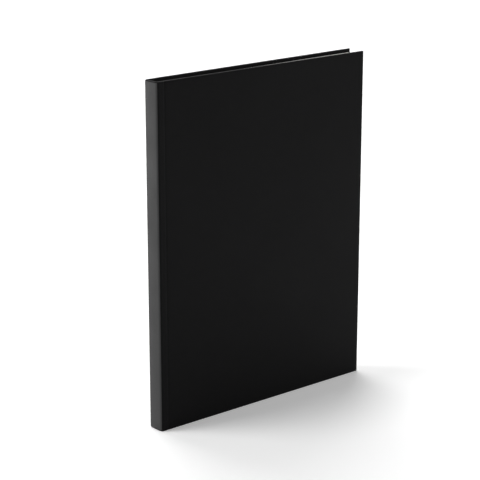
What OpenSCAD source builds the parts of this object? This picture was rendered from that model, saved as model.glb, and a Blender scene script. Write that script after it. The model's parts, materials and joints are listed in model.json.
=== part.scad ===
// Weekly planner: a slim casebound book that stands on its tail edge with the spine at the left.
// The origin is the middle of the spine's tail face. X runs to the fore edge, the front cover
// faces -Y and Z runs up the spine. Everything is drawn shut, and then the front cover and the
// leaves behind it are turned a little, because a book that stands on its own springs ajar.

/* [Covers] */
// Width from the spine's outer face to the fore edge of the covers
cover_w = 190; // [150:1:230]
// Height of the covers
cover_h = 250; // [180:1:320]
// Thickness over both covers when shut
planner_t = 14; // [11:0.5:24]
// Thickness of a cover board
board_t = 1.8; // [1:0.1:2.5]
// Thickness of the spine board
spine_board_t = 1.5; // [1.4:0.1:2.5]
// Thickness of the covering sheet
covering_t = 0.25; // [0.15:0.05:0.4]
// Width of the covering folded over the inner side of a board
turn_in = 15; // [10:1:25]
// Distance from the spine's outer face to the hinge crease
joint_w = 6.7; // [5:0.1:10]
// Gap between the boards at the hinge crease
crease_gap = 0.3; // [0.2:0.05:0.6]
// Outer radius of the spine's two long edges
spine_edge_r = 1.6; // [0.6:0.1:1.6]

/* [Book block] */
// How far the covers stand out past the paper at head, tail and fore edge
overhang = 2.5; // [1.8:0.1:4]
// Thickness of an endpaper
endpaper_t = 0.2; // [0.1:0.05:0.3]
// Border of turned-in covering left showing round a pastedown
pastedown_margin = 3; // [2:0.5:6]
// Number of sewn sections in each half of the book block
half_sections = 8; // [2:1:9]
// Air between one section and the next
section_gap = 0.03; // [0.02:0.01:0.05]

/* [Binding] */
// Thickness of the gauze glued over the folds
gauze_t = 0.25; // [0.15:0.05:0.4]
// Thickness of the paper liner on the gauze
liner_t = 0.2; // [0.1:0.05:0.4]
// Air of the hollow back, and the play round the threads in their kerfs
hollow_gap = 0.05; // [0.05:0.05:0.5]
// Diameter of the sewing thread
thread_d = 0.4; // [0.3:0.05:0.6]
// Number of sewing stations along the folds
stations = 5; // [3:1:8]
// Diameter of the bead of a headband
bead_d = 1.6; // [1:0.1:1.8]
// Height of the headband's tab, which is glued to the folds
band_tab_h = 10; // [6:1:14]

/* [Opening] */
// Angle at which the front cover stands ajar, in degrees
ajar = 0.8; // [0:0.1:2]
// Share of its cover's angle that a flyleaf turns through
flyleaf_share = 0.5; // [0.3:0.05:0.5]
// Share of its cover's angle that a middle section turns through
middle_share = 0.2; // [0.1:0.05:0.3]
// How far the covers' hinge lines lie outside their faces
hinge_lift = 0.1; // [0.05:0.05:0.2]

/* [Hidden] */
$fn = 48;
half_t = planner_t / 2;
shell_t = board_t + 2 * covering_t;
cover_t = shell_t + endpaper_t;
board_inner = half_t - covering_t - board_t;
block_half = half_t - cover_t;
stack_half = block_half - endpaper_t;
pitch = stack_half / half_sections;
section_t = pitch - section_gap;

spine_in = spine_board_t / 2;
spine_x = -spine_in - covering_t;
fore_x = spine_x + cover_w;
crease_x = spine_x + joint_w;
bound_end = crease_x - crease_gap / 2;
free_start = crease_x + crease_gap / 2;
liner_x = spine_in + covering_t + hollow_gap;
gauze_x = liner_x + liner_t;
fold_x = gauze_x + gauze_t;
leaf_fore = fore_x - overhang;

block_h = cover_h - 2 * overhang;
head_z = cover_h - overhang;
gauze_end = max(turn_in, overhang + band_tab_h) + 2 * hollow_gap;
kerf_d = thread_d + 2 * hollow_gap;
station_step = block_h / (stations + 1);
past = 1;

function two_digits(n) = n < 10 ? str("0", n) : str(n);
function section_name(n) = str("section_", two_digits(n));
function leaf_share(i) = flyleaf_share + (middle_share - flyleaf_share) * i / half_sections;
function section_y(i) = -stack_half + i * pitch + section_gap / 2;

CASE = ["spine_board", "spine_covering", "front_joint_strip", "back_joint_strip",
        "front_board", "front_covering", "front_pastedown",
        "back_board", "back_covering", "back_pastedown"];
BINDING = ["section_folds", "endpaper_folds", "sewing_thread", "spine_gauze", "spine_liner",
           "head_band", "tail_band"];
FLYLEAVES = ["front_flyleaf", "back_flyleaf"];
SECTIONS = [for (n = [1 : 2 * half_sections]) section_name(n)];

// Turns what is drawn shut about an upright line of the hinge crease
module turn_out(y, degrees) {
    translate([crease_x, y, 0])
        rotate([0, 0, -degrees])
            translate([-crease_x, -y, 0])
                children();
}

module at_front_cover() {
    turn_out(-half_t - hinge_lift, ajar) children();
}

module at_back() {
    mirror([0, 1, 0]) children();
}

module at_tail() {
    translate([0, 0, cover_h]) mirror([0, 0, 1]) children();
}

// Plan of the spine and the two joints, with round spine edges, drawn in by inset
module spine_plan(inset, end) {
    r = spine_edge_r - inset;
    x = spine_x + inset;
    y = half_t - inset;
    translate([x + r, -y]) square([end - x - r, 2 * y]);
    translate([x, r - y]) square([2 * r, 2 * (y - r)]);
    for (side = [-1, 1])
        translate([x + r, side * (y - r)]) circle(r);
}

// Plan of the space between the boards at the spine, drawn in by inset
module hollow_plan(inset, end) {
    y = board_inner - inset;
    translate([spine_in + inset, -y]) square([end - spine_in - inset, 2 * y]);
}

module spine_board() {
    color("dimgray")
        translate([0, 0, covering_t])
            linear_extrude(cover_h - 2 * covering_t)
                intersection() {
                    spine_plan(covering_t, bound_end);
                    translate([spine_x, -half_t]) square([spine_in - spine_x, planner_t]);
                }
}

// Covering over one end of the spine and its folded-in flap
module spine_end() {
    linear_extrude(covering_t)
        difference() {
            spine_plan(0, bound_end);
            hollow_plan(covering_t, bound_end + past);
        }
    linear_extrude(turn_in)
        difference() {
            hollow_plan(0, bound_end);
            hollow_plan(covering_t, bound_end + past);
        }
}

module spine_covering() {
    color([0.07, 0.07, 0.07])
        union() {
            linear_extrude(cover_h)
                difference() {
                    spine_plan(0, bound_end);
                    spine_plan(covering_t, bound_end + past);
                }
            spine_end();
            at_tail() spine_end();
        }
}

// Narrow board between the spine and the hinge crease of the front cover
module joint_strip() {
    color("dimgray")
        translate([spine_in, covering_t - half_t, covering_t])
            cube([bound_end - spine_in, board_t, cover_h - 2 * covering_t]);
}

module cover_board() {
    color("dimgray")
        translate([free_start, covering_t - half_t, covering_t])
            cube([fore_x - covering_t - free_start, board_t, cover_h - 2 * covering_t]);
}

// Sheet glued round the board: outer face, three edges and the turn-ins on the inner side
module cover_covering() {
    window_w = fore_x - turn_in - free_start;
    color([0.07, 0.07, 0.07])
        difference() {
            translate([free_start, -half_t, 0])
                cube([fore_x - free_start, shell_t, cover_h]);
            translate([free_start - past, covering_t - half_t, covering_t])
                cube([fore_x - covering_t - free_start + past, board_t, cover_h - 2 * covering_t]);
            translate([free_start - past, covering_t + board_t / 2 - half_t, turn_in])
                cube([window_w + past, shell_t, cover_h - 2 * turn_in]);
        }
}

// Endpaper half pasted over the turn-ins, sunk to the board between them
module cover_pastedown() {
    margin = pastedown_margin;
    color([0.16, 0.16, 0.17])
        union() {
            translate([free_start, shell_t - half_t, margin])
                cube([fore_x - margin - free_start, endpaper_t, cover_h - 2 * margin]);
            translate([free_start, -board_inner, turn_in])
                cube([fore_x - turn_in - free_start, covering_t + endpaper_t, cover_h - 2 * turn_in]);
        }
}

// Free leaves of one section, counted from the flyleaf inwards
module section_leaves(i) {
    color([0.93, 0.92, 0.88])
        translate([free_start, section_y(i), overhang])
            cube([leaf_fore - free_start, section_t, block_h]);
}

module front_section(i) {
    turn_out(-block_half, leaf_share(i + 1) * ajar) section_leaves(i);
}

module flyleaf() {
    color([0.16, 0.16, 0.17])
        translate([free_start, -block_half, overhang])
            cube([leaf_fore - free_start, endpaper_t, block_h]);
}

module section(n) {
    if (n <= half_sections)
        front_section(n - 1);
    else
        at_back() section_leaves(2 * half_sections - n);
}

// Slots sawn across the folds for the threads
module kerfs() {
    for (k = [1 : stations])
        translate([fold_x - past, -half_t, overhang + k * station_step - kerf_d / 2])
            cube([past + kerf_d, planner_t, kerf_d]);
}

// Bound edge of one section, round at the fold
module section_fold(i) {
    r = section_t / 2;
    translate([0, section_y(i), overhang])
        linear_extrude(block_h) {
            translate([fold_x + r, 0]) square([bound_end - fold_x - r, section_t]);
            translate([fold_x + r, r]) circle(r);
        }
}

module section_folds() {
    color([0.93, 0.92, 0.88])
        difference() {
            for (i = [0 : 2 * half_sections - 1]) section_fold(i);
            kerfs();
        }
}

// Folded edge of an endpaper, between the joint strip and the first section
module endpaper_fold() {
    translate([fold_x, -block_half - endpaper_t, overhang])
        cube([bound_end - fold_x, 2 * endpaper_t, block_h]);
}

module endpaper_folds() {
    color([0.16, 0.16, 0.17]) {
        endpaper_fold();
        at_back() endpaper_fold();
    }
}

module sewing_thread() {
    color("white")
        for (k = [1 : stations])
            translate([fold_x + kerf_d / 2, stack_half, overhang + k * station_step])
                rotate([90, 0, 0])
                    cylinder(d = thread_d, h = 2 * stack_half);
}

// Gauze over the folds, with a wing under each joint strip
module spine_gauze() {
    inner = block_half + endpaper_t;
    color("ivory")
        translate([0, 0, gauze_end])
            linear_extrude(cover_h - 2 * gauze_end)
                difference() {
                    translate([gauze_x, -board_inner])
                        square([bound_end - gauze_x, 2 * board_inner]);
                    translate([fold_x, -inner])
                        square([bound_end - fold_x + past, 2 * inner]);
                }
}

module spine_liner() {
    color("peru")
        translate([liner_x, -block_half, overhang])
            cube([liner_t, 2 * block_half, block_h]);
}

// Woven tape glued to the folds, with a bead that lies on the end of the book block
module head_band() {
    color([0.1, 0.1, 0.1])
        union() {
            translate([gauze_x, -stack_half, head_z - band_tab_h])
                cube([gauze_t, 2 * stack_half, band_tab_h + bead_d / 2]);
            translate([gauze_x + bead_d / 2, stack_half, head_z + bead_d / 2])
                rotate([90, 0, 0])
                    cylinder(d = bead_d, h = 2 * stack_half);
        }
}

spine_board();
spine_covering();
joint_strip();  // front_joint_strip
at_back() joint_strip();  // back_joint_strip
at_front_cover() cover_board();  // front_board
at_front_cover() cover_covering();  // front_covering
at_front_cover() cover_pastedown();  // front_pastedown
at_back() cover_board();  // back_board
at_back() cover_covering();  // back_covering
at_back() cover_pastedown();  // back_pastedown
section_folds();
endpaper_folds();
sewing_thread();
spine_gauze();
spine_liner();
head_band();
at_tail() head_band();  // tail_band
turn_out(-block_half, leaf_share(0) * ajar) flyleaf();  // front_flyleaf
at_back() flyleaf();  // back_flyleaf
for (n = [1 : 2 * half_sections])
    section(n);
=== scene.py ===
import json
import math

import bmesh
import bpy
import numpy as np
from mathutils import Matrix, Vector


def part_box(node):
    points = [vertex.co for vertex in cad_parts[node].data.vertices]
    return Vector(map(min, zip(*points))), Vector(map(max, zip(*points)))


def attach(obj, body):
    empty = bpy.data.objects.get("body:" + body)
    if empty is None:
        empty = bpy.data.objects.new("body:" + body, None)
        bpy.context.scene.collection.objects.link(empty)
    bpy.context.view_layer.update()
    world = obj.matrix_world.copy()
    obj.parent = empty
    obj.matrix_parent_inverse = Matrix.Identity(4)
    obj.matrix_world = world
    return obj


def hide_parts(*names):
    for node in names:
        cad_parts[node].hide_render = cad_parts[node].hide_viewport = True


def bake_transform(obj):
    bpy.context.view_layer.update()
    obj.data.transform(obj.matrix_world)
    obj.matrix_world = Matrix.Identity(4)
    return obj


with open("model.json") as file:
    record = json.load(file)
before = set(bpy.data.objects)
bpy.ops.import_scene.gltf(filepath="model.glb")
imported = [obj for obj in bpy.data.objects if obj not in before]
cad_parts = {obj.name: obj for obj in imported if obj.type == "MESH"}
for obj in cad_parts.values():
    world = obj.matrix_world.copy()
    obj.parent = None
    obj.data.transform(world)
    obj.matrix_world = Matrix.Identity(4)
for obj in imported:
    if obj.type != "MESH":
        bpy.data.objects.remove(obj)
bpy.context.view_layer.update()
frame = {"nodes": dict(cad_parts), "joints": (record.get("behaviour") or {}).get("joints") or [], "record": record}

# The sewn sections: sixteen gatherings of two folded sheets each, sixty-four leaves of cream paper.
# The sheets are printed with plain rules for the days, nested, and sewn together through their folds.
# A leaf is held at the spine, so it bends through the gutter when its section turns.
mm = 0.001
joints = {joint["name"]: joint for joint in frame["joints"]}
shares = {row["joint"]: row["ratio"] for row in frame["record"]["behaviour"]["couplings"]}
crease_x = joints["front_cover_hinge"]["pos_m"][0]
ajar = -joints["front_cover_hinge"]["range_deg"][0]
leaf_pivot = joints["section_01_turn"]["pos_m"][:2]
fold_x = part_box("section_folds")[0].x
leaf_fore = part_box("section_16")[1].x
tail_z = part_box("section_16")[0].z
head_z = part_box("section_16")[1].z
section_count = 16
section_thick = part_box("section_16")[1].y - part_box("section_16")[0].y
leaves_in_section = 4
leaf_pitch = section_thick / leaves_in_section
paper_thick = 0.9 * leaf_pitch
sheet_offsets = (0.5 * leaf_pitch, 1.5 * leaf_pitch)
gutter_start = crease_x - 1 * mm
gutter_end = crease_x + 24 * mm
gutter_steps = 16
leaf_steps = 4
fold_steps = 8
off_print = -20 * mm
paper_cream = (0.84, 0.832, 0.80, 1)
paper_shade = (0.79, 0.78, 0.745, 1)
ink_grey = (0.20, 0.20, 0.21, 1)
print_left = 14 * mm
print_right = 176 * mm
print_foot = 11 * mm
day_height = 52 * mm
days_on_page = 4
writing_pitch = 6.5 * mm
fine_rule = 0.22 * mm
day_rule = 0.55 * mm
date_column = 20 * mm
date_box = 11 * mm
date_inset = 4.5 * mm
tick_box = 3.2 * mm
ticks_in_day = 5
head_rise = 9 * mm
head_bar = 1.4 * mm
dot_pitch = 5 * mm
dot_radius = 1.1 * mm
days_in_week = 7
fine_ink = 0.4
tint_ink = 0.14


def spread(*spans):
    """Grid lines over spans of (start, end, steps)."""
    found = [spans[0][0]]
    for start, end, steps in spans:
        found += [start + (end - start) * k / steps for k in range(1, steps + 1)]
    return found


def turned(points, pivot, degrees, start, end):
    """Points turned about an upright line, a growing share of the angle between x = start and x = end."""
    points = np.array(points, float)
    t = np.clip((points[..., 0] - start) / (end - start), 0, 1)
    angle = math.radians(degrees) * t * t * (3 - 2 * t)
    x = points[..., 0] - pivot[0]
    y = points[..., 1] - pivot[1]
    points[..., 0] = pivot[0] + x * np.cos(angle) + y * np.sin(angle)
    points[..., 1] = pivot[1] - x * np.sin(angle) + y * np.cos(angle)
    return points


def welded(name, patches, finish, sharp=35):
    """A closed mesh welded from grids: each patch is (points, flat places), both rows by columns."""
    bm = bmesh.new()
    flat = bm.loops.layers.uv.new("flat")
    for points, places in patches:
        rows = [[bm.verts.new(p) for p in row] for row in points]
        for i in range(len(rows) - 1):
            for j in range(len(rows[0]) - 1):
                corners = ((i, j), (i, j + 1), (i + 1, j + 1), (i + 1, j))
                face = bm.faces.new([rows[a][b] for a, b in corners])
                for loop, (a, b) in zip(face.loops, corners):
                    loop[flat].uv = places[a][b]
    bmesh.ops.remove_doubles(bm, verts=bm.verts, dist=0.0005 * mm)
    open_edges = [edge for edge in bm.edges if edge.is_boundary]
    if open_edges:
        bmesh.ops.holes_fill(bm, edges=open_edges, sides=0)
    bmesh.ops.recalc_face_normals(bm, faces=bm.faces)
    mesh = bpy.data.meshes.new(name)
    bm.to_mesh(mesh)
    bm.free()
    mesh.materials.append(finish)
    mesh.polygons.foreach_set("use_smooth", [True] * len(mesh.polygons))
    mesh.set_sharp_from_angle(angle=math.radians(sharp))
    piece = bpy.data.objects.new(name, mesh)
    bpy.context.scene.collection.objects.link(piece)
    return piece


def new_finish(name, roughness=0.5, gloss=0.5):
    """A material with its node tree and its Principled shader."""
    material = bpy.data.materials.new(name)
    material.use_nodes = True
    shader = material.node_tree.nodes["Principled BSDF"]
    shader.inputs["Roughness"].default_value = roughness
    shader.inputs["Specular IOR Level"].default_value = gloss
    return material, material.node_tree, shader


def node(tree, kind, inputs=None, **settings):
    """A node with its settings, and with values or links on its inputs."""
    made = tree.nodes.new(kind)
    for key, value in settings.items():
        setattr(made, key, value)
    for key, value in (inputs or {}).items():
        if isinstance(value, bpy.types.NodeSocket):
            tree.links.new(value, made.inputs[key])
        else:
            made.inputs[key].default_value = value
    return made


def maths(tree, operation, a, b, c=0.0):
    """One sum on two or three numbers or sockets."""
    return node(tree, "ShaderNodeMath", {0: a, 1: b, 2: c}, operation=operation).outputs[0]


def mingled(tree, first, second, share):
    """A share of the first value with the rest of the second."""
    return maths(tree, "MULTIPLY_ADD", first, share, maths(tree, "MULTIPLY", second, 1 - share))


def mixed(tree, share, low, high):
    """A colour between low and high."""
    made = node(tree, "ShaderNodeMix", {0: share, 6: low, 7: high}, data_type="RGBA")
    return made.outputs[2]


def noise(tree, place, scale, detail=3.0, roughness=0.55):
    """A noise value from 0 to 1, with about scale grains in a metre."""
    inputs = {"Vector": place, "Scale": scale, "Detail": detail, "Roughness": roughness}
    return node(tree, "ShaderNodeTexNoise", inputs).outputs["Fac"]


def ranged(tree, value, low=0.0, high=1.0):
    """A value from 0 to 1, most of it near 0.5, spread out over low to high."""
    inputs = {"Value": value, 1: 0.3, 2: 0.7, 3: low, 4: high}
    return node(tree, "ShaderNodeMapRange", inputs).outputs["Result"]


def bumped(tree, shader, height, depth, strength):
    """Relief of the given depth in metres."""
    inputs = {"Height": height, "Distance": depth, "Strength": strength}
    tree.links.new(node(tree, "ShaderNodeBump", inputs).outputs["Normal"], shader.inputs["Normal"])


page_paper, tree, shader = new_finish("page_paper", roughness=0.82, gloss=0.25)
place = node(tree, "ShaderNodeUVMap", uv_map="flat").outputs["UV"]
axes = node(tree, "ShaderNodeSeparateXYZ", {"Vector": place})
across = axes.outputs["X"]
up = axes.outputs["Y"]
print_top = print_foot + days_on_page * day_height


def within(value, low, high):
    """1 where a value lies between low and high."""
    return maths(tree, "COMPARE", value, (low + high) / 2, (high - low) / 2)


def all_of(*parts):
    """The product of several values."""
    found = parts[0]
    for part in parts[1:]:
        found = maths(tree, "MULTIPLY", found, part)
    return found


def any_of(*parts):
    """The largest of several values."""
    found = parts[0]
    for part in parts[1:]:
        found = maths(tree, "MAXIMUM", found, part)
    return found


def repeated(value, first, pitch):
    """How far a value lies past the last of a row of lines at a pitch."""
    return maths(tree, "FLOORED_MODULO", maths(tree, "SUBTRACT", value, first), pitch)


def ruled(value, first, pitch, width):
    """1 on lines of that width that repeat at a pitch."""
    offset = maths(tree, "PINGPONG", maths(tree, "SUBTRACT", value, first), pitch / 2)
    return maths(tree, "LESS_THAN", offset, width / 2)


in_width = within(across, print_left, print_right)
in_days = within(up, print_foot - day_rule, print_top + day_rule)
in_area = all_of(in_width, in_days)
day_up = repeated(up, print_foot, day_height)
line_up = repeated(up, print_foot, writing_pitch)
day_lines = ruled(up, print_foot, day_height, day_rule)
writing_width = within(across, print_left, print_right - date_column)
fine_lines = all_of(ruled(up, print_foot, writing_pitch, fine_rule), writing_width)
column = within(across, print_right - date_column - fine_rule, print_right - date_column)
date_high = day_height - date_inset
date_tint = all_of(within(across, print_right - date_box, print_right),
                   within(day_up, date_high - date_box, date_high))

tick_foot = (writing_pitch - tick_box) / 2
tick_outside = all_of(within(across, print_left, print_left + tick_box),
                      within(line_up, tick_foot, tick_foot + tick_box))
tick_inside = all_of(within(across, print_left + fine_rule, print_left + tick_box - fine_rule),
                     within(line_up, tick_foot + fine_rule, tick_foot + tick_box - fine_rule))
tick_lines = all_of(maths(tree, "SUBTRACT", tick_outside, tick_inside),
                    within(day_up, 0, ticks_in_day * writing_pitch))

bar_up = print_top + head_rise
bar = all_of(in_width, within(up, bar_up, bar_up + head_bar))
dot_first = print_right - dot_radius - (days_in_week - 1) * dot_pitch
dot_across = maths(tree, "PINGPONG", maths(tree, "SUBTRACT", across, dot_first), dot_pitch / 2)
dot_up = maths(tree, "SUBTRACT", up, bar_up + head_bar + dot_pitch / 2)
dot_square = maths(tree, "MULTIPLY_ADD", dot_across, dot_across, all_of(dot_up, dot_up))
dots = all_of(maths(tree, "LESS_THAN", dot_square, dot_radius ** 2),
              within(across, dot_first - dot_radius, print_right))

fine = all_of(any_of(fine_lines, column, tick_lines), fine_ink)
in_days_ink = all_of(any_of(fine, all_of(date_tint, tint_ink), day_lines), in_area)
ink = any_of(in_days_ink, bar, dots)
fibres = noise(tree, place, scale=1400.0, detail=5.0, roughness=0.65)
clouds = noise(tree, place, scale=90.0)
mottle = ranged(tree, mingled(tree, fibres, clouds, 0.5))
paper_colour = mixed(tree, mottle, paper_shade, paper_cream)
tree.links.new(mixed(tree, ink, paper_colour, ink_grey), shader.inputs["Base Color"])
bumped(tree, shader, fibres, depth=0.02 * mm, strength=0.5)

leaf_lines = spread((gutter_start, gutter_end, gutter_steps), (gutter_end, leaf_fore, leaf_steps))
fold_turns = [math.pi * k / fold_steps for k in range(fold_steps + 1)]


def folded_sheet(middle_y, offset):
    """Patches of one sheet folded round a section's middle, with its two leaves offset to either side."""
    centre_x = fold_x + sheet_offsets[-1] + paper_thick / 2
    skins = []
    for radius in (offset + paper_thick / 2, offset - paper_thick / 2):
        first = [(x, radius) for x in reversed(leaf_lines)]
        bend = [(centre_x - radius * math.sin(a), radius * math.cos(a)) for a in fold_turns]
        last = [(x, -radius) for x in leaf_lines]
        skins.append(first + bend + last)
    outer, inner = [[[(x, middle_y + y, z) for x, y in skin] for z in (tail_z, head_z)] for skin in skins]
    flat = [[(x - fold_x, z) for x, y in skins[0]] for z in (0, head_z - tail_z)]
    edge = [[(off_print - x, y) for x, y in skin] for skin in skins]
    patches = [(outer, flat), (inner, flat)]
    patches += [([outer[k], inner[k]], edge) for k in (0, 1)]
    for end in (0, -1):
        rim = [[skin[k][end] for k in (0, 1)] for skin in (outer, inner)]
        patches.append((rim, [[(off_print, p[2]) for p in row] for row in rim]))
    return patches


for number in range(1, section_count + 1):
    body = "section_%02d" % number
    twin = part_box("section_%02d" % max(number, section_count + 1 - number))
    side = -1 if number <= section_count / 2 else 1
    middle_y = side * (twin[0].y + twin[1].y) / 2
    patches = []
    for offset in sheet_offsets:
        patches += folded_sheet(middle_y, offset)
    if side < 0:
        angle = ajar * shares[body + "_turn"]
        patches = [(turned(p, leaf_pivot, angle, gutter_start, gutter_end), flat) for p, flat in patches]
    leaves = welded("leaves_%02d" % number, patches, page_paper)
    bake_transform(leaves)
    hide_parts(body, "section_folds")

# The sewing: linen thread through the folds at five stations, drawn into kerfs sawn across the back.
# It is waxed, undyed, twisted from two plies, and hidden under the gauze.
thread_shade = (0.52, 0.49, 0.41, 1)
thread_linen = (0.80, 0.77, 0.68, 1)

linen, tree, shader = new_finish("waxed_linen_thread", roughness=0.6)
place = node(tree, "ShaderNodeTexCoord").outputs["Object"]
lay = node(tree, "ShaderNodeTexWave", {"Vector": place, "Scale": 520.0, "Distortion": 1.5},
           wave_type="BANDS", bands_direction="DIAGONAL").outputs["Fac"]
tree.links.new(mixed(tree, lay, thread_shade, thread_linen), shader.inputs["Base Color"])
bumped(tree, shader, lay, depth=0.05 * mm, strength=0.8)


def dressed(name, finish):
    """Gives a node that keeps its own shape a finish."""
    held = frame["nodes"][name].data.materials
    held.clear()
    held.append(finish)


dressed("sewing_thread", linen)

# The gauze: an open cotton weave, stiff with glue, pasted over the folds and under both joint strips.
# It ties the sewn block to the case.
gauze_gaps = (0.42, 0.38, 0.29, 1)
gauze_cotton = (0.76, 0.73, 0.64, 1)

gauze, tree, shader = new_finish("glued_gauze", roughness=0.85)
place = node(tree, "ShaderNodeTexCoord").outputs["Object"]
weave = []
for direction in ("Y", "Z"):
    wave = node(tree, "ShaderNodeTexWave", {"Vector": place, "Scale": 260.0, "Distortion": 0.6},
                wave_type="BANDS", bands_direction=direction)
    weave.append(wave.outputs["Fac"])
strands = maths(tree, "MAXIMUM", weave[0], weave[1])
tree.links.new(mixed(tree, strands, gauze_gaps, gauze_cotton), shader.inputs["Base Color"])
bumped(tree, shader, strands, depth=0.15 * mm, strength=0.7)
dressed("spine_gauze", gauze)

# The liner: a strip of brown kraft paper glued over the gauze, which stiffens the back of the block.
# It stays free of the spine board, so the back is hollow.
kraft_dark = (0.27, 0.17, 0.09, 1)
kraft_light = (0.46, 0.32, 0.19, 1)

kraft, tree, shader = new_finish("kraft_paper", roughness=0.8)
place = node(tree, "ShaderNodeTexCoord").outputs["Object"]
pulp = noise(tree, place, scale=900.0, detail=6.0, roughness=0.7)
tree.links.new(mixed(tree, ranged(tree, pulp), kraft_dark, kraft_light), shader.inputs["Base Color"])
bumped(tree, shader, pulp, depth=0.03 * mm, strength=0.6)
dressed("spine_liner", kraft)

# The headbands: a cord core wrapped in black and grey thread, sewn to a tape that is glued to the folds.
# The wrapped bead lies on the head and the tail of the leaves, just inside the spine.
band_pitch = 0.9 * mm
wrap_relief = 0.05 * mm
bead_radius = 0.8 * mm
bead_stations = 152
bead_turns = 16
tape_thick = 0.22 * mm
band_black = (0.012, 0.012, 0.013, 1)
band_black_light = (0.028, 0.028, 0.03, 1)
band_grey_dark = (0.13, 0.13, 0.135, 1)
band_grey = (0.20, 0.20, 0.21, 1)
band_low, band_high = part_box("head_band")

headband, tree, shader = new_finish("wrapped_headband")
place = node(tree, "ShaderNodeUVMap", uv_map="flat").outputs["UV"]
along = node(tree, "ShaderNodeSeparateXYZ", {"Vector": place}).outputs["X"]
stripe = maths(tree, "PINGPONG", along, band_pitch)
grey_turn = maths(tree, "GREATER_THAN", stripe, band_pitch / 2)
silk = noise(tree, place, scale=5200.0, detail=2.0)
dark = mixed(tree, ranged(tree, silk), band_black, band_black_light)
pale = mixed(tree, ranged(tree, silk), band_grey_dark, band_grey)
tree.links.new(mixed(tree, grey_turn, dark, pale), shader.inputs["Base Color"])
shader.inputs["Sheen Weight"].default_value = 0.3
bumped(tree, shader, silk, depth=0.02 * mm, strength=0.5)


def headband_patches(bead_z, tape_z):
    """The ridged bead and its tape, from the height of the bead's middle and of the tape's far end."""
    radius = bead_radius - wrap_relief
    centre_x = band_low.x + bead_radius
    stations = spread((band_low.y, band_high.y, bead_stations))
    turns = [2 * math.pi * k / bead_turns for k in range(bead_turns + 1)]
    bead = []
    flat = []
    for y in stations:
        r = radius + wrap_relief * abs(math.sin(2 * math.pi * y / band_pitch))
        bead.append([(centre_x + r * math.cos(a), y, bead_z + r * math.sin(a)) for a in turns])
        flat.append([(y, radius * a) for a in turns])
    tape_x = (band_low.x, band_low.x + tape_thick)
    corners = [(tape_x[0], tape_z), (tape_x[1], tape_z), (tape_x[1], bead_z), (tape_x[0], bead_z)]
    tape = [[(x, y, z) for y in (band_low.y, band_high.y)] for x, z in corners + corners[:1]]
    return [(bead, flat), (tape, [[(y, z) for x, y, z in row] for row in tape])]


bead_high = band_high.z - bead_radius
bead_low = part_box("tail_band")[0].z + bead_radius
head_band = welded("head_band_wrapped", headband_patches(bead_high, band_low.z), headband)
tail_band = welded("tail_band_wrapped", headband_patches(bead_low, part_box("tail_band")[1].z), headband)
for band, name in ((head_band, "head_band"), (tail_band, "tail_band")):
    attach(band, "spine")
    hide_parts(name)

# The flyleaves: the free halves of the two endpapers, in charcoal paper a little heavier than the pages.
# Each is tipped to its first or last section along the fold, and turns at half of its cover's angle.
endpaper_dark = (0.022, 0.022, 0.024, 1)
endpaper_light = (0.050, 0.050, 0.053, 1)
fibre_stretch = (0.35, 1.0, 1.0)
flyleaf_room = 0.055 * mm
flyleaf_low, flyleaf_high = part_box("back_flyleaf")

endpaper, tree, shader = new_finish("charcoal_endpaper", roughness=0.88, gloss=0.25)
place = node(tree, "ShaderNodeUVMap", uv_map="flat").outputs["UV"]
stretched = node(tree, "ShaderNodeMapping", {"Vector": place, "Scale": fibre_stretch}).outputs["Vector"]
fibres = noise(tree, stretched, scale=1500.0, detail=6.0, roughness=0.7)
clouds = noise(tree, place, scale=55.0)
tone = ranged(tree, mingled(tree, fibres, clouds, 0.7))
tree.links.new(mixed(tree, tone, endpaper_dark, endpaper_light), shader.inputs["Base Color"])
bumped(tree, shader, fibres, depth=0.03 * mm, strength=0.6)


def slab(top, under, flat):
    """Patches of a thin sheet with a top and an under side, each rows by columns."""
    top = np.array(top)
    under = np.array(under)
    flat = np.array(flat)
    patches = [(top, flat), (under, flat)]
    for edge in (np.s_[0], np.s_[-1], np.s_[:, 0], np.s_[:, -1]):
        patches.append(([top[edge], under[edge]], [flat[edge], flat[edge]]))
    return patches


for side, name in ((-1, "front_flyleaf"), (1, "back_flyleaf")):
    inner = side * flyleaf_low.y
    outer = side * (flyleaf_high.y - flyleaf_room)
    lines = [fold_x] + leaf_lines
    heights = (tail_z, head_z)
    faces = [[[(x, y, z) for x in lines] for z in heights] for y in (inner, outer)]
    patches = slab(faces[0], faces[1], [[(x, z) for x in lines] for z in heights])
    if side < 0:
        angle = ajar * shares["front_flyleaf_turn"]
        patches = [(turned(p, leaf_pivot, angle, gutter_start, gutter_end), flat) for p, flat in patches]
    leaf = welded(name + "_sheet", patches, endpaper)
    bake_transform(leaf)
    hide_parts(name, "endpaper_folds")

# The boards: millboard cut for the two covers, and two narrow strips between the spine and the creases.
# It is grey, pressed from waste paper in layers, and wholly wrapped by the covering.
board_dark = (0.22, 0.21, 0.20, 1)
board_light = (0.42, 0.41, 0.39, 1)

greyboard, tree, shader = new_finish("greyboard", roughness=0.9)
place = node(tree, "ShaderNodeTexCoord").outputs["Object"]
pulp = noise(tree, place, scale=700.0, detail=6.0, roughness=0.7)
flecks = noise(tree, place, scale=2600.0, detail=2.0)
tone = ranged(tree, mingled(tree, flecks, pulp, 0.4))
tree.links.new(mixed(tree, tone, board_dark, board_light), shader.inputs["Base Color"])
bumped(tree, shader, pulp, depth=0.06 * mm, strength=0.5)
for name in ("front_board", "back_board", "front_joint_strip", "back_joint_strip"):
    dressed(name, greyboard)

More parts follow.
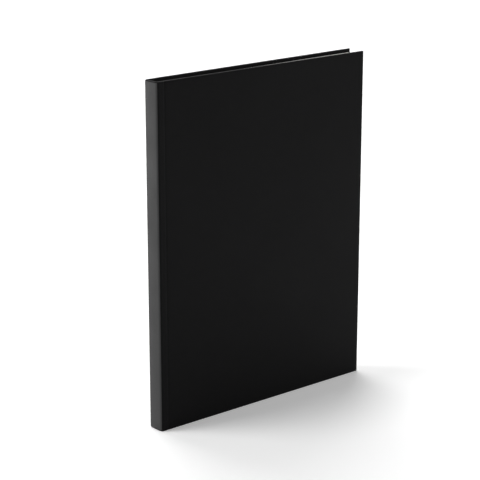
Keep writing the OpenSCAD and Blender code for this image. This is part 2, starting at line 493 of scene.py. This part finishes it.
# The spine board: a strip of the same greyboard, pressed to a slight crown, with its long edges eased off.
# It is glued to the covering and stands free of the block.
case_low, case_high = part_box("spine_covering")
spine_half = case_high.y
cover_high = case_high.z
sheet_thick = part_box("spine_board")[0].x - case_low.x
spine_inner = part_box("spine_board")[1].x
crown_tilt = math.tan(math.radians(6))
ease_long = 2.2 * mm
ease_deep = 1.8 * mm
ease_steps = 14
crown_steps = 6
case_seam = 3.2 * mm
glue_gap = 0.03 * mm
edge_round = 0.5 * mm
spine_end_round = 1.0 * mm


def corner_line(start_x, half_width, long, deep, tilt=0.0):
    """Part of an ellipse from the front face at start_x round the corner, up to a tilt."""
    last = math.atan2(long, deep * tilt)
    turns = [last * k / ease_steps for k in range(ease_steps + 1)]
    return [(start_x - long * math.sin(q), -half_width + deep * (1 - math.cos(q))) for q in turns]


def mirrored(line):
    """A line from the front face to the middle of the spine, carried on to the back face."""
    return line + [(x, -y) for x, y in reversed(line[:-1])]


ease_line = corner_line(0, spine_half, ease_long, ease_deep, crown_tilt)
crown_rise = -ease_line[-1][1] * crown_tilt / 2
crown_end = case_low.x + crown_rise - ease_line[-1][0]
ease_line = [(x + crown_end, y) for x, y in ease_line]
crown_half = [(case_low.x + crown_rise * (k / crown_steps) ** 2, ease_line[-1][1] * k / crown_steps)
              for k in reversed(range(crown_steps))]
crown_line = mirrored(ease_line + crown_half)


def inset_line(line, inset):
    """An open line moved to its right by the inset."""
    points = np.array(line)
    along = np.gradient(points, axis=0)
    along /= np.linalg.norm(along, axis=1)[:, None]
    return points + inset * np.stack([along[:, 1], -along[:, 0]], axis=1)


board_outer = inset_line(crown_line, sheet_thick + glue_gap)
board_outer[:, 0] = np.minimum(board_outer[:, 0], spine_inner - glue_gap)
board_inner = [(spine_inner, y) for x, y in board_outer]
board_foot = spine_end_round
board_head = cover_high - spine_end_round
ring = []
for line, z in ((board_outer, board_foot), (board_outer, board_head), (board_inner, board_head),
                (board_inner, board_foot), (board_outer, board_foot)):
    ring.append([(x, y, z) for x, y in line])
ring_flat = [[(y, z) for x, y, z in row] for row in ring]
spine_board = welded("spine_board_crowned", [(ring, ring_flat)], greyboard)
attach(spine_board, "spine")
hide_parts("spine_board")

# The covering of the spine: black soft-touch sheet with a fine grain, drawn over the crowned board.
# Its ends are folded over the head and the tail and glued down inside the spine.
# The hand has burnished the spine's face, so it takes more light than the matt covers.
covering_black = (0.0050, 0.0050, 0.0052, 1)
covering_handled = (0.0100, 0.0100, 0.0103, 1)
covering_rubbed = (0.0150, 0.0150, 0.0153, 1)
matt_gloss = 0.042
matt_roughness = (0.60, 0.68)
burnished_gloss = 0.50
burnished_roughness = (0.58, 0.66)
burnished_turn = math.radians(40)
burnished_from = crown_end - ease_long * math.sin(burnished_turn)
burnished_end = 0.6 * mm
grain_depth = 0.16 * mm
edge_rub = (0.105, 0.35)
rub_reach = 0.4 * mm
turn_in = 15 * mm
pasted_margin = 3 * mm
fore_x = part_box("back_covering")[1].x
shell_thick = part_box("back_covering")[1].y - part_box("back_covering")[0].y
round_steps = 5
quarter = [math.pi / 2 * k / round_steps for k in range(round_steps + 1)]


def faded(tree, value, start, end):
    """A smooth step from 0 at start to 1 at end."""
    inputs = {"Value": value, 1: start, 2: end, 3: 0.0, 4: 1.0}
    return node(tree, "ShaderNodeMapRange", inputs, interpolation_type="SMOOTHSTEP").outputs["Result"]


def covering_finish(name, roughness, gloss):
    """Black sheet with a fine grain and faint marks of handling, rubbed a little paler along its edges."""
    material, tree, shader = new_finish(name, gloss=gloss)
    place = node(tree, "ShaderNodeUVMap", uv_map="flat").outputs["UV"]
    axes = node(tree, "ShaderNodeSeparateXYZ", {"Vector": place})
    grain = noise(tree, place, scale=1900.0)
    handling = noise(tree, place, scale=45.0, detail=4.0)
    cloud = noise(tree, place, scale=9.0, detail=2.0)
    fore_edge = faded(tree, axes.outputs["X"], fore_x - edge_round - rub_reach, fore_x)
    tail_edge = faded(tree, axes.outputs["Y"], edge_round + rub_reach, 0)
    head_edge = faded(tree, axes.outputs["Y"], cover_high - edge_round - rub_reach, cover_high)
    edges = maths(tree, "MAXIMUM", fore_edge, maths(tree, "MAXIMUM", tail_edge, head_edge))
    rubbed = maths(tree, "MULTIPLY", edges, ranged(tree, handling, *edge_rub))
    tone = mingled(tree, grain, mingled(tree, handling, cloud, 0.5), 0.4)
    handled = mixed(tree, ranged(tree, tone), covering_black, covering_handled)
    tree.links.new(mixed(tree, rubbed, handled, covering_rubbed), shader.inputs["Base Color"])
    tree.links.new(ranged(tree, handling, *roughness), shader.inputs["Roughness"])
    bumped(tree, shader, grain, depth=grain_depth, strength=1.0)
    return material


black_covering = covering_finish("black_soft_touch_covering", matt_roughness, matt_gloss)
burnished_covering = covering_finish("black_burnished_covering", burnished_roughness, burnished_gloss)


def wrapped_edge(thick, groove=0.0, round_off=edge_round):
    """Rows of (inset, depth) over a wrapped edge to the end of the turn-in, and of its glued side."""
    outer = [(round_off * (1 - math.sin(q)), groove + round_off * (1 - math.cos(q))) for q in quarter]
    inner = [(edge_round * (1 - math.cos(q)), thick - edge_round * (1 - math.sin(q))) for q in quarter]
    flap = [(pasted_margin, thick), (turn_in, thick)]
    glued_depth = thick - sheet_thick
    corner = sheet_thick + (round_off - edge_round) / 2
    glued = [(turn_in, glued_depth), (corner, glued_depth), (corner, groove + corner)]
    return outer + inner + flap, glued


def lengths(rows):
    """Distance along rows of (inset, depth) from the first."""
    steps = np.linalg.norm(np.diff(np.array(rows), axis=0), axis=1)
    return np.concatenate([[0], np.cumsum(steps)])


turn_in_head = cover_high - turn_in
margin_head = cover_high - pasted_margin
face_heights = spread((edge_round, pasted_margin, 1), (pasted_margin, turn_in, 2),
                      (turn_in, turn_in_head, 8), (turn_in_head, margin_head, 2),
                      (margin_head, cover_high - edge_round, 1))
inside_x = spine_inner + sheet_thick
inside_half = spine_half - shell_thick
inside_turns = 0.6 * mm
joint_steps = 5
joint_front = [(x, -spine_half) for x in spread((case_seam, crown_end, joint_steps))]
outside_line = mirrored(joint_front[:-1] + ease_line + crown_half)
inside_corner = corner_line(inside_x + inside_turns, inside_half, inside_turns, inside_turns)
inside_edge = inside_turns - inside_half
inside_flat = [(inside_x, inside_edge * k / crown_steps) for k in reversed(range(crown_steps))]
inside_front = [(x, -inside_half) for x in spread((case_seam, inside_corner[0][0], joint_steps))]
inside_line = mirrored(inside_front[:-1] + inside_corner + inside_flat)
ring_points = []
ring_places = []
walked = case_seam
for k, (outside, inside) in enumerate(zip(outside_line, inside_line)):
    outside = np.array(outside)
    inward = np.array(inside) - outside
    thick = np.linalg.norm(inward)
    inward = inward / thick
    walked -= np.linalg.norm(outside - np.array(outside_line[max(k - 1, 0)]))
    turned_in = min(max((crown_end - outside[0]) / ease_long, 0), 1)
    round_off = edge_round + (spine_end_round - edge_round) * turned_in
    wrap, glued = wrapped_edge(thick, round_off=round_off)
    glued.append((round_off + sheet_thick, sheet_thick))
    run = lengths(wrap)
    tail = [(a, d, round_off - past) for (a, d), past in zip(wrap, run)][::-1]
    face = [(z, 0, z) for z in face_heights[1:-1]]
    head = [(cover_high - a, d, cover_high - round_off + past) for (a, d), past in zip(wrap, run)]
    back = [(cover_high - a, d, cover_high) for a, d in glued] + [(a, d, 0) for a, d in reversed(glued)]
    column = tail + face + head + back + tail[:1]
    ring_points.append([(*(outside + inward * d), z) for z, d, v in column])
    ring_places.append([(walked, v) for z, d, v in column])
spine_covering = welded("covering_spine", [(ring_points, ring_places)], black_covering)
spine_covering.data.materials.append(burnished_covering)
for face in spine_covering.data.polygons:
    end_gap = min(face.center.z, cover_high - face.center.z)
    face.material_index = int(face.center.x < burnished_from and end_gap > burnished_end)
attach(spine_covering, "spine")
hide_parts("spine_covering")

# The covering of the two covers: the same black sheet, creased at the hinge and wrapped round the boards.
# Its edges are folded in and glued down inside, with the corners mitred.
crease_half = 1.3 * mm
crease_deep = 0.2 * mm
hinge_reach = 0.6 * mm
corner_steps = 5
straight_from = 20 * mm
cover_pivot = joints["front_cover_hinge"]["pos_m"][:2]
crease_steps = 26
crease_from = crease_x - crease_half
crease_to = crease_x + crease_half
turn_in_fore = fore_x - turn_in
margin_fore = fore_x - pasted_margin
cover_lines = spread((case_seam, crease_from, 1), (crease_from, crease_to, crease_steps),
                     (crease_to, straight_from, 2), (straight_from, turn_in_fore, 7),
                     (turn_in_fore, margin_fore, 2), (margin_fore, fore_x - edge_round, 1))


def crease(x):
    """Depth of the pressed line at the hinge."""
    t = min(abs(x - crease_x) / crease_half, 1)
    return crease_deep * (1 + math.cos(math.pi * t)) / 2


def across_at(x, inset):
    """A line's place across the cover on the outline that is inset from the edges."""
    if x <= straight_from:
        return x
    return straight_from + (x - straight_from) * (fore_x - inset - straight_from) / (
        fore_x - edge_round - straight_from)


def up_at(z, inset):
    """A line's height on the outline that is inset from the edges."""
    return inset + (z - edge_round) * (cover_high - 2 * inset) / (cover_high - 2 * edge_round)


def rim_column(x, z, corner):
    """Points and flat places of the wrapped edge at a place of the outline, whose way out is corner."""
    wrap, glued = wrapped_edge(shell_thick, crease(x))
    run = list(lengths(wrap)) + [turn_in, 0, 0]
    points = []
    places = []
    for (a, d), past in zip(wrap + glued, run):
        swing = max(edge_round - a, 0)
        middle_x = fore_x - max(edge_round, a) if corner[0] else across_at(x, a)
        if corner[1] == 0:
            middle_z = up_at(z, a)
        else:
            middle_z = max(edge_round, a) if corner[1] < 0 else cover_high - max(edge_round, a)
        points.append((middle_x + swing * corner[0], d, middle_z + swing * corner[1]))
        places.append((x + past * corner[0], z + past * corner[1]))
    return points, places


def cover_patches():
    """The whole sheet of one cover as (x, depth from the outer face, z)."""
    outline = [(x, edge_round, (0, -1)) for x in cover_lines]
    far = fore_x - edge_round
    for k in range(1, corner_steps):
        q = math.pi / 2 * k / corner_steps
        outline.append((far, edge_round, (math.sin(q), -math.cos(q))))
    outline += [(far, z, (1, 0)) for z in face_heights]
    for k in range(1, corner_steps):
        q = math.pi / 2 * k / corner_steps
        outline.append((far, cover_high - edge_round, (math.cos(q), math.sin(q))))
    outline += [(x, cover_high - edge_round, (0, 1)) for x in reversed(cover_lines)]
    columns = [rim_column(*stop) for stop in outline]
    rim = ([points for points, places in columns], [places for points, places in columns])
    flat = [[(x, z) for x in cover_lines] for z in face_heights]
    face = [[(x, crease(x), z) for x in cover_lines] for z in face_heights]
    glued = []
    for z in face_heights:
        glued_z = up_at(z, sheet_thick)
        glued.append([(across_at(x, sheet_thick), crease(x) + sheet_thick, glued_z) for x in cover_lines])
    return [rim, (face, flat), (glued, flat)]


def on_side(points, side):
    """Points given by their depth from a cover's outer face, placed on the front (-1) or the back (1)."""
    points = np.array(points, float)
    points[..., 1] = side * (spine_half - points[..., 1])
    return points


hinge_start = crease_x - hinge_reach
hinge_end = crease_x + hinge_reach
for side, body in ((-1, "front_cover"), (1, "back_cover")):
    patches = [(on_side(points, side), flat) for points, flat in cover_patches()]
    if side < 0:
        patches = [(turned(p, cover_pivot, ajar, hinge_start, hinge_end), flat) for p, flat in patches]
    name = body.replace("_cover", "")
    covering = welded("covering_" + name, patches, black_covering)
    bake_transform(covering)
    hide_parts(name + "_covering")

# The pastedowns: the other halves of the endpapers, pasted to the insides of the covers over the turn-ins.
# The paper sinks a little between the turn-ins, so their edges show through as a soft step.
sink = 0.12 * mm
step_width = 3 * mm
pasted_low, pasted_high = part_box("back_pastedown")
pasted_thick = 0.17 * mm


def eased(t):
    """A smooth step from 0 to 1."""
    t = min(max(t, 0), 1)
    return t * t * (3 - 2 * t)


def sunk(x, z):
    """How deep the paper lies below the turn-ins at a place of the cover."""
    across = eased((fore_x - turn_in - x) / step_width + 0.5) * eased((x - hinge_end) / step_width)
    above = eased((z - turn_in) / step_width + 0.5)
    below = eased((cover_high - turn_in - z) / step_width + 0.5)
    return sink * across * above * below


step_foot = (turn_in - step_width / 2, turn_in + step_width / 2)
step_head = (cover_high - step_foot[1], cover_high - step_foot[0])
step_fore = (fore_x - step_foot[1], fore_x - step_foot[0])
pasted_heights = spread((pasted_low.z, step_foot[0], 1), (*step_foot, 6), (step_foot[1], step_head[0], 4),
                        (*step_head, 6), (step_head[1], pasted_high.z, 1))
pasted_lines = spread((fold_x, hinge_start, 2), (hinge_start, hinge_end, 16),
                      (hinge_end, hinge_end + step_width, 6), (hinge_end + step_width, step_fore[0], 6),
                      (*step_fore, 6), (step_fore[1], pasted_high.x, 1))
for side, body in ((-1, "front_cover"), (1, "back_cover")):
    top = [[(x, side * (pasted_low.y + sunk(x, z)), z) for x in pasted_lines] for z in pasted_heights]
    under = [[(x, y + side * pasted_thick, z) for x, y, z in row] for row in top]
    patches = slab(top, under, [[(x, z) for x in pasted_lines] for z in pasted_heights])
    if side < 0:
        patches = [(turned(p, cover_pivot, ajar, hinge_start, hinge_end), flat) for p, flat in patches]
    name = body.replace("_cover", "_pastedown")
    pasted = welded(name + "_sheet", patches, endpaper)
    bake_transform(pasted)
    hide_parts(name)

# The studio: a white floor that keeps the planner's soft shadow, and an even white surround.
# Soft lights hang behind and to the left, a low panel lights the spine and a weak one the fore edge.
floor_white = (0.93, 0.93, 0.93, 1)
floor_lift = 0.26
floor_size = 60.0
floor_mesh = bpy.data.meshes.new("studio_floor")
floor_drop = -0.05 * mm
half = floor_size / 2
floor_mesh.from_pydata([(-half, -half, floor_drop), (half, -half, floor_drop), (half, half, floor_drop),
                        (-half, half, floor_drop)], [], [(0, 1, 2, 3)])
floor_paint, tree, shader = new_finish("studio_floor_white", roughness=1.0, gloss=0.0)
shader.inputs["Base Color"].default_value = floor_white
shader.inputs["Emission Color"].default_value = (1, 1, 1, 1)


def seen_rays(tree):
    """1 on the rays that look at a thing, and 0 on those that carry its light."""
    rays = node(tree, "ShaderNodeLightPath")
    seen = maths(tree, "MAXIMUM", rays.outputs["Is Camera Ray"], rays.outputs["Is Glossy Ray"])
    return maths(tree, "MAXIMUM", seen, rays.outputs["Is Transmission Ray"])


tree.links.new(maths(tree, "MULTIPLY", seen_rays(tree), floor_lift), shader.inputs["Emission Strength"])
floor_mesh.materials.append(floor_paint)
floor = bpy.data.objects.new("studio_floor", floor_mesh)
bpy.context.scene.collection.objects.link(floor)

ambient = 0.23
world = bpy.data.worlds.new("studio_surround")
world.use_nodes = True
bpy.context.scene.world = world
tree = world.node_tree
tree.nodes["Background"].inputs["Color"].default_value = (1, 1, 1, 1)
strength = maths(tree, "MULTIPLY_ADD", seen_rays(tree), 1 - ambient, ambient)
tree.links.new(strength, tree.nodes["Background"].inputs["Strength"])

back_rise = math.radians(45.3)
back_turn = math.radians(22.3)
back_spread = math.radians(50)
left_rise = math.radians(66.2)
left_turn = math.radians(-57.5)
left_spread = math.radians(18)
left_share = 0.48


def distant_light(name, rise, turn, softness, on_floor):
    """A soft distant light: its rise, its turn from the back to the right, and its light on the floor."""
    lamp = bpy.data.lights.new(name, "SUN")
    lamp.energy = on_floor * math.pi / math.sin(rise)
    lamp.angle = softness
    light = bpy.data.objects.new(name, lamp)
    towards = Vector((math.cos(rise) * math.sin(turn), math.cos(rise) * math.cos(turn), math.sin(rise)))
    light.rotation_mode = "QUATERNION"
    light.rotation_quaternion = towards.to_track_quat("Z", "Y")
    bpy.context.scene.collection.objects.link(light)


distant_light("back_light", back_rise, back_turn, back_spread, (1 - ambient) * (1 - left_share))
distant_light("left_light", left_rise, left_turn, left_spread, (1 - ambient) * left_share)

spine_panel_place = (-0.62, 0.72, 0.0775)
spine_panel_aim = (0, 0, 0.12)
spine_panel_wide = 0.6
spine_panel_high = 0.145
spine_panel_watts = 2.2
fore_panel_place = (0.34, -0.21, 0.075)
fore_panel_aim = (0.19, 0, 0.075)
fore_panel_wide = 0.08
fore_panel_high = 0.14
fore_panel_watts = 0.149


def panel(name, place, aim, width, height, watts):
    """A soft upright panel light that the camera doesn't see."""
    lamp = bpy.data.lights.new(name, "AREA")
    lamp.shape = "RECTANGLE"
    lamp.size = width
    lamp.size_y = height
    lamp.energy = watts
    light = bpy.data.objects.new(name, lamp)
    light.location = place
    light.rotation_mode = "QUATERNION"
    light.rotation_quaternion = (Vector(place) - Vector(aim)).to_track_quat("Z", "Y")
    light.visible_camera = False
    bpy.context.scene.collection.objects.link(light)


panel("spine_light", spine_panel_place, spine_panel_aim,
      spine_panel_wide, spine_panel_high, spine_panel_watts)
panel("fore_light", fore_panel_place, fore_panel_aim,
      fore_panel_wide, fore_panel_high, fore_panel_watts)

# The camera: a long lens above and to the left of the front cover, at the photograph's angle.
# It looks a little below the middle of the planner.
view_azimuth = math.radians(-40.52)
view_elevation = math.radians(16.34)
view_distance = 1.189
view_middle = 94 * mm
view_left = 12.24 * mm
view_drop = 3.38 * mm
view_right = Vector((math.cos(view_azimuth), math.sin(view_azimuth), 0))
view_back = Vector((math.sin(view_azimuth) * math.cos(view_elevation),
                    -math.cos(view_azimuth) * math.cos(view_elevation), math.sin(view_elevation)))
view_offset = view_left * view_right + Vector((0, 0, view_drop))
view_target = Vector((view_middle, 0, cover_high / 2)) - view_offset
camera_lens = bpy.data.cameras.new("camera")
camera_lens.sensor_width = 36
camera_lens.lens = 123.3
camera_lens.clip_start = 0.05
camera_lens.clip_end = 100
camera = bpy.data.objects.new("camera", camera_lens)
camera.location = view_target + view_back * view_distance
camera.rotation_mode = "QUATERNION"
camera.rotation_quaternion = (-view_back).to_track_quat("-Z", "Y")
bpy.context.scene.collection.objects.link(camera)
bpy.context.scene.camera = camera
bpy.context.scene.view_settings.view_transform = "Standard"

bpy.context.view_layer.update()
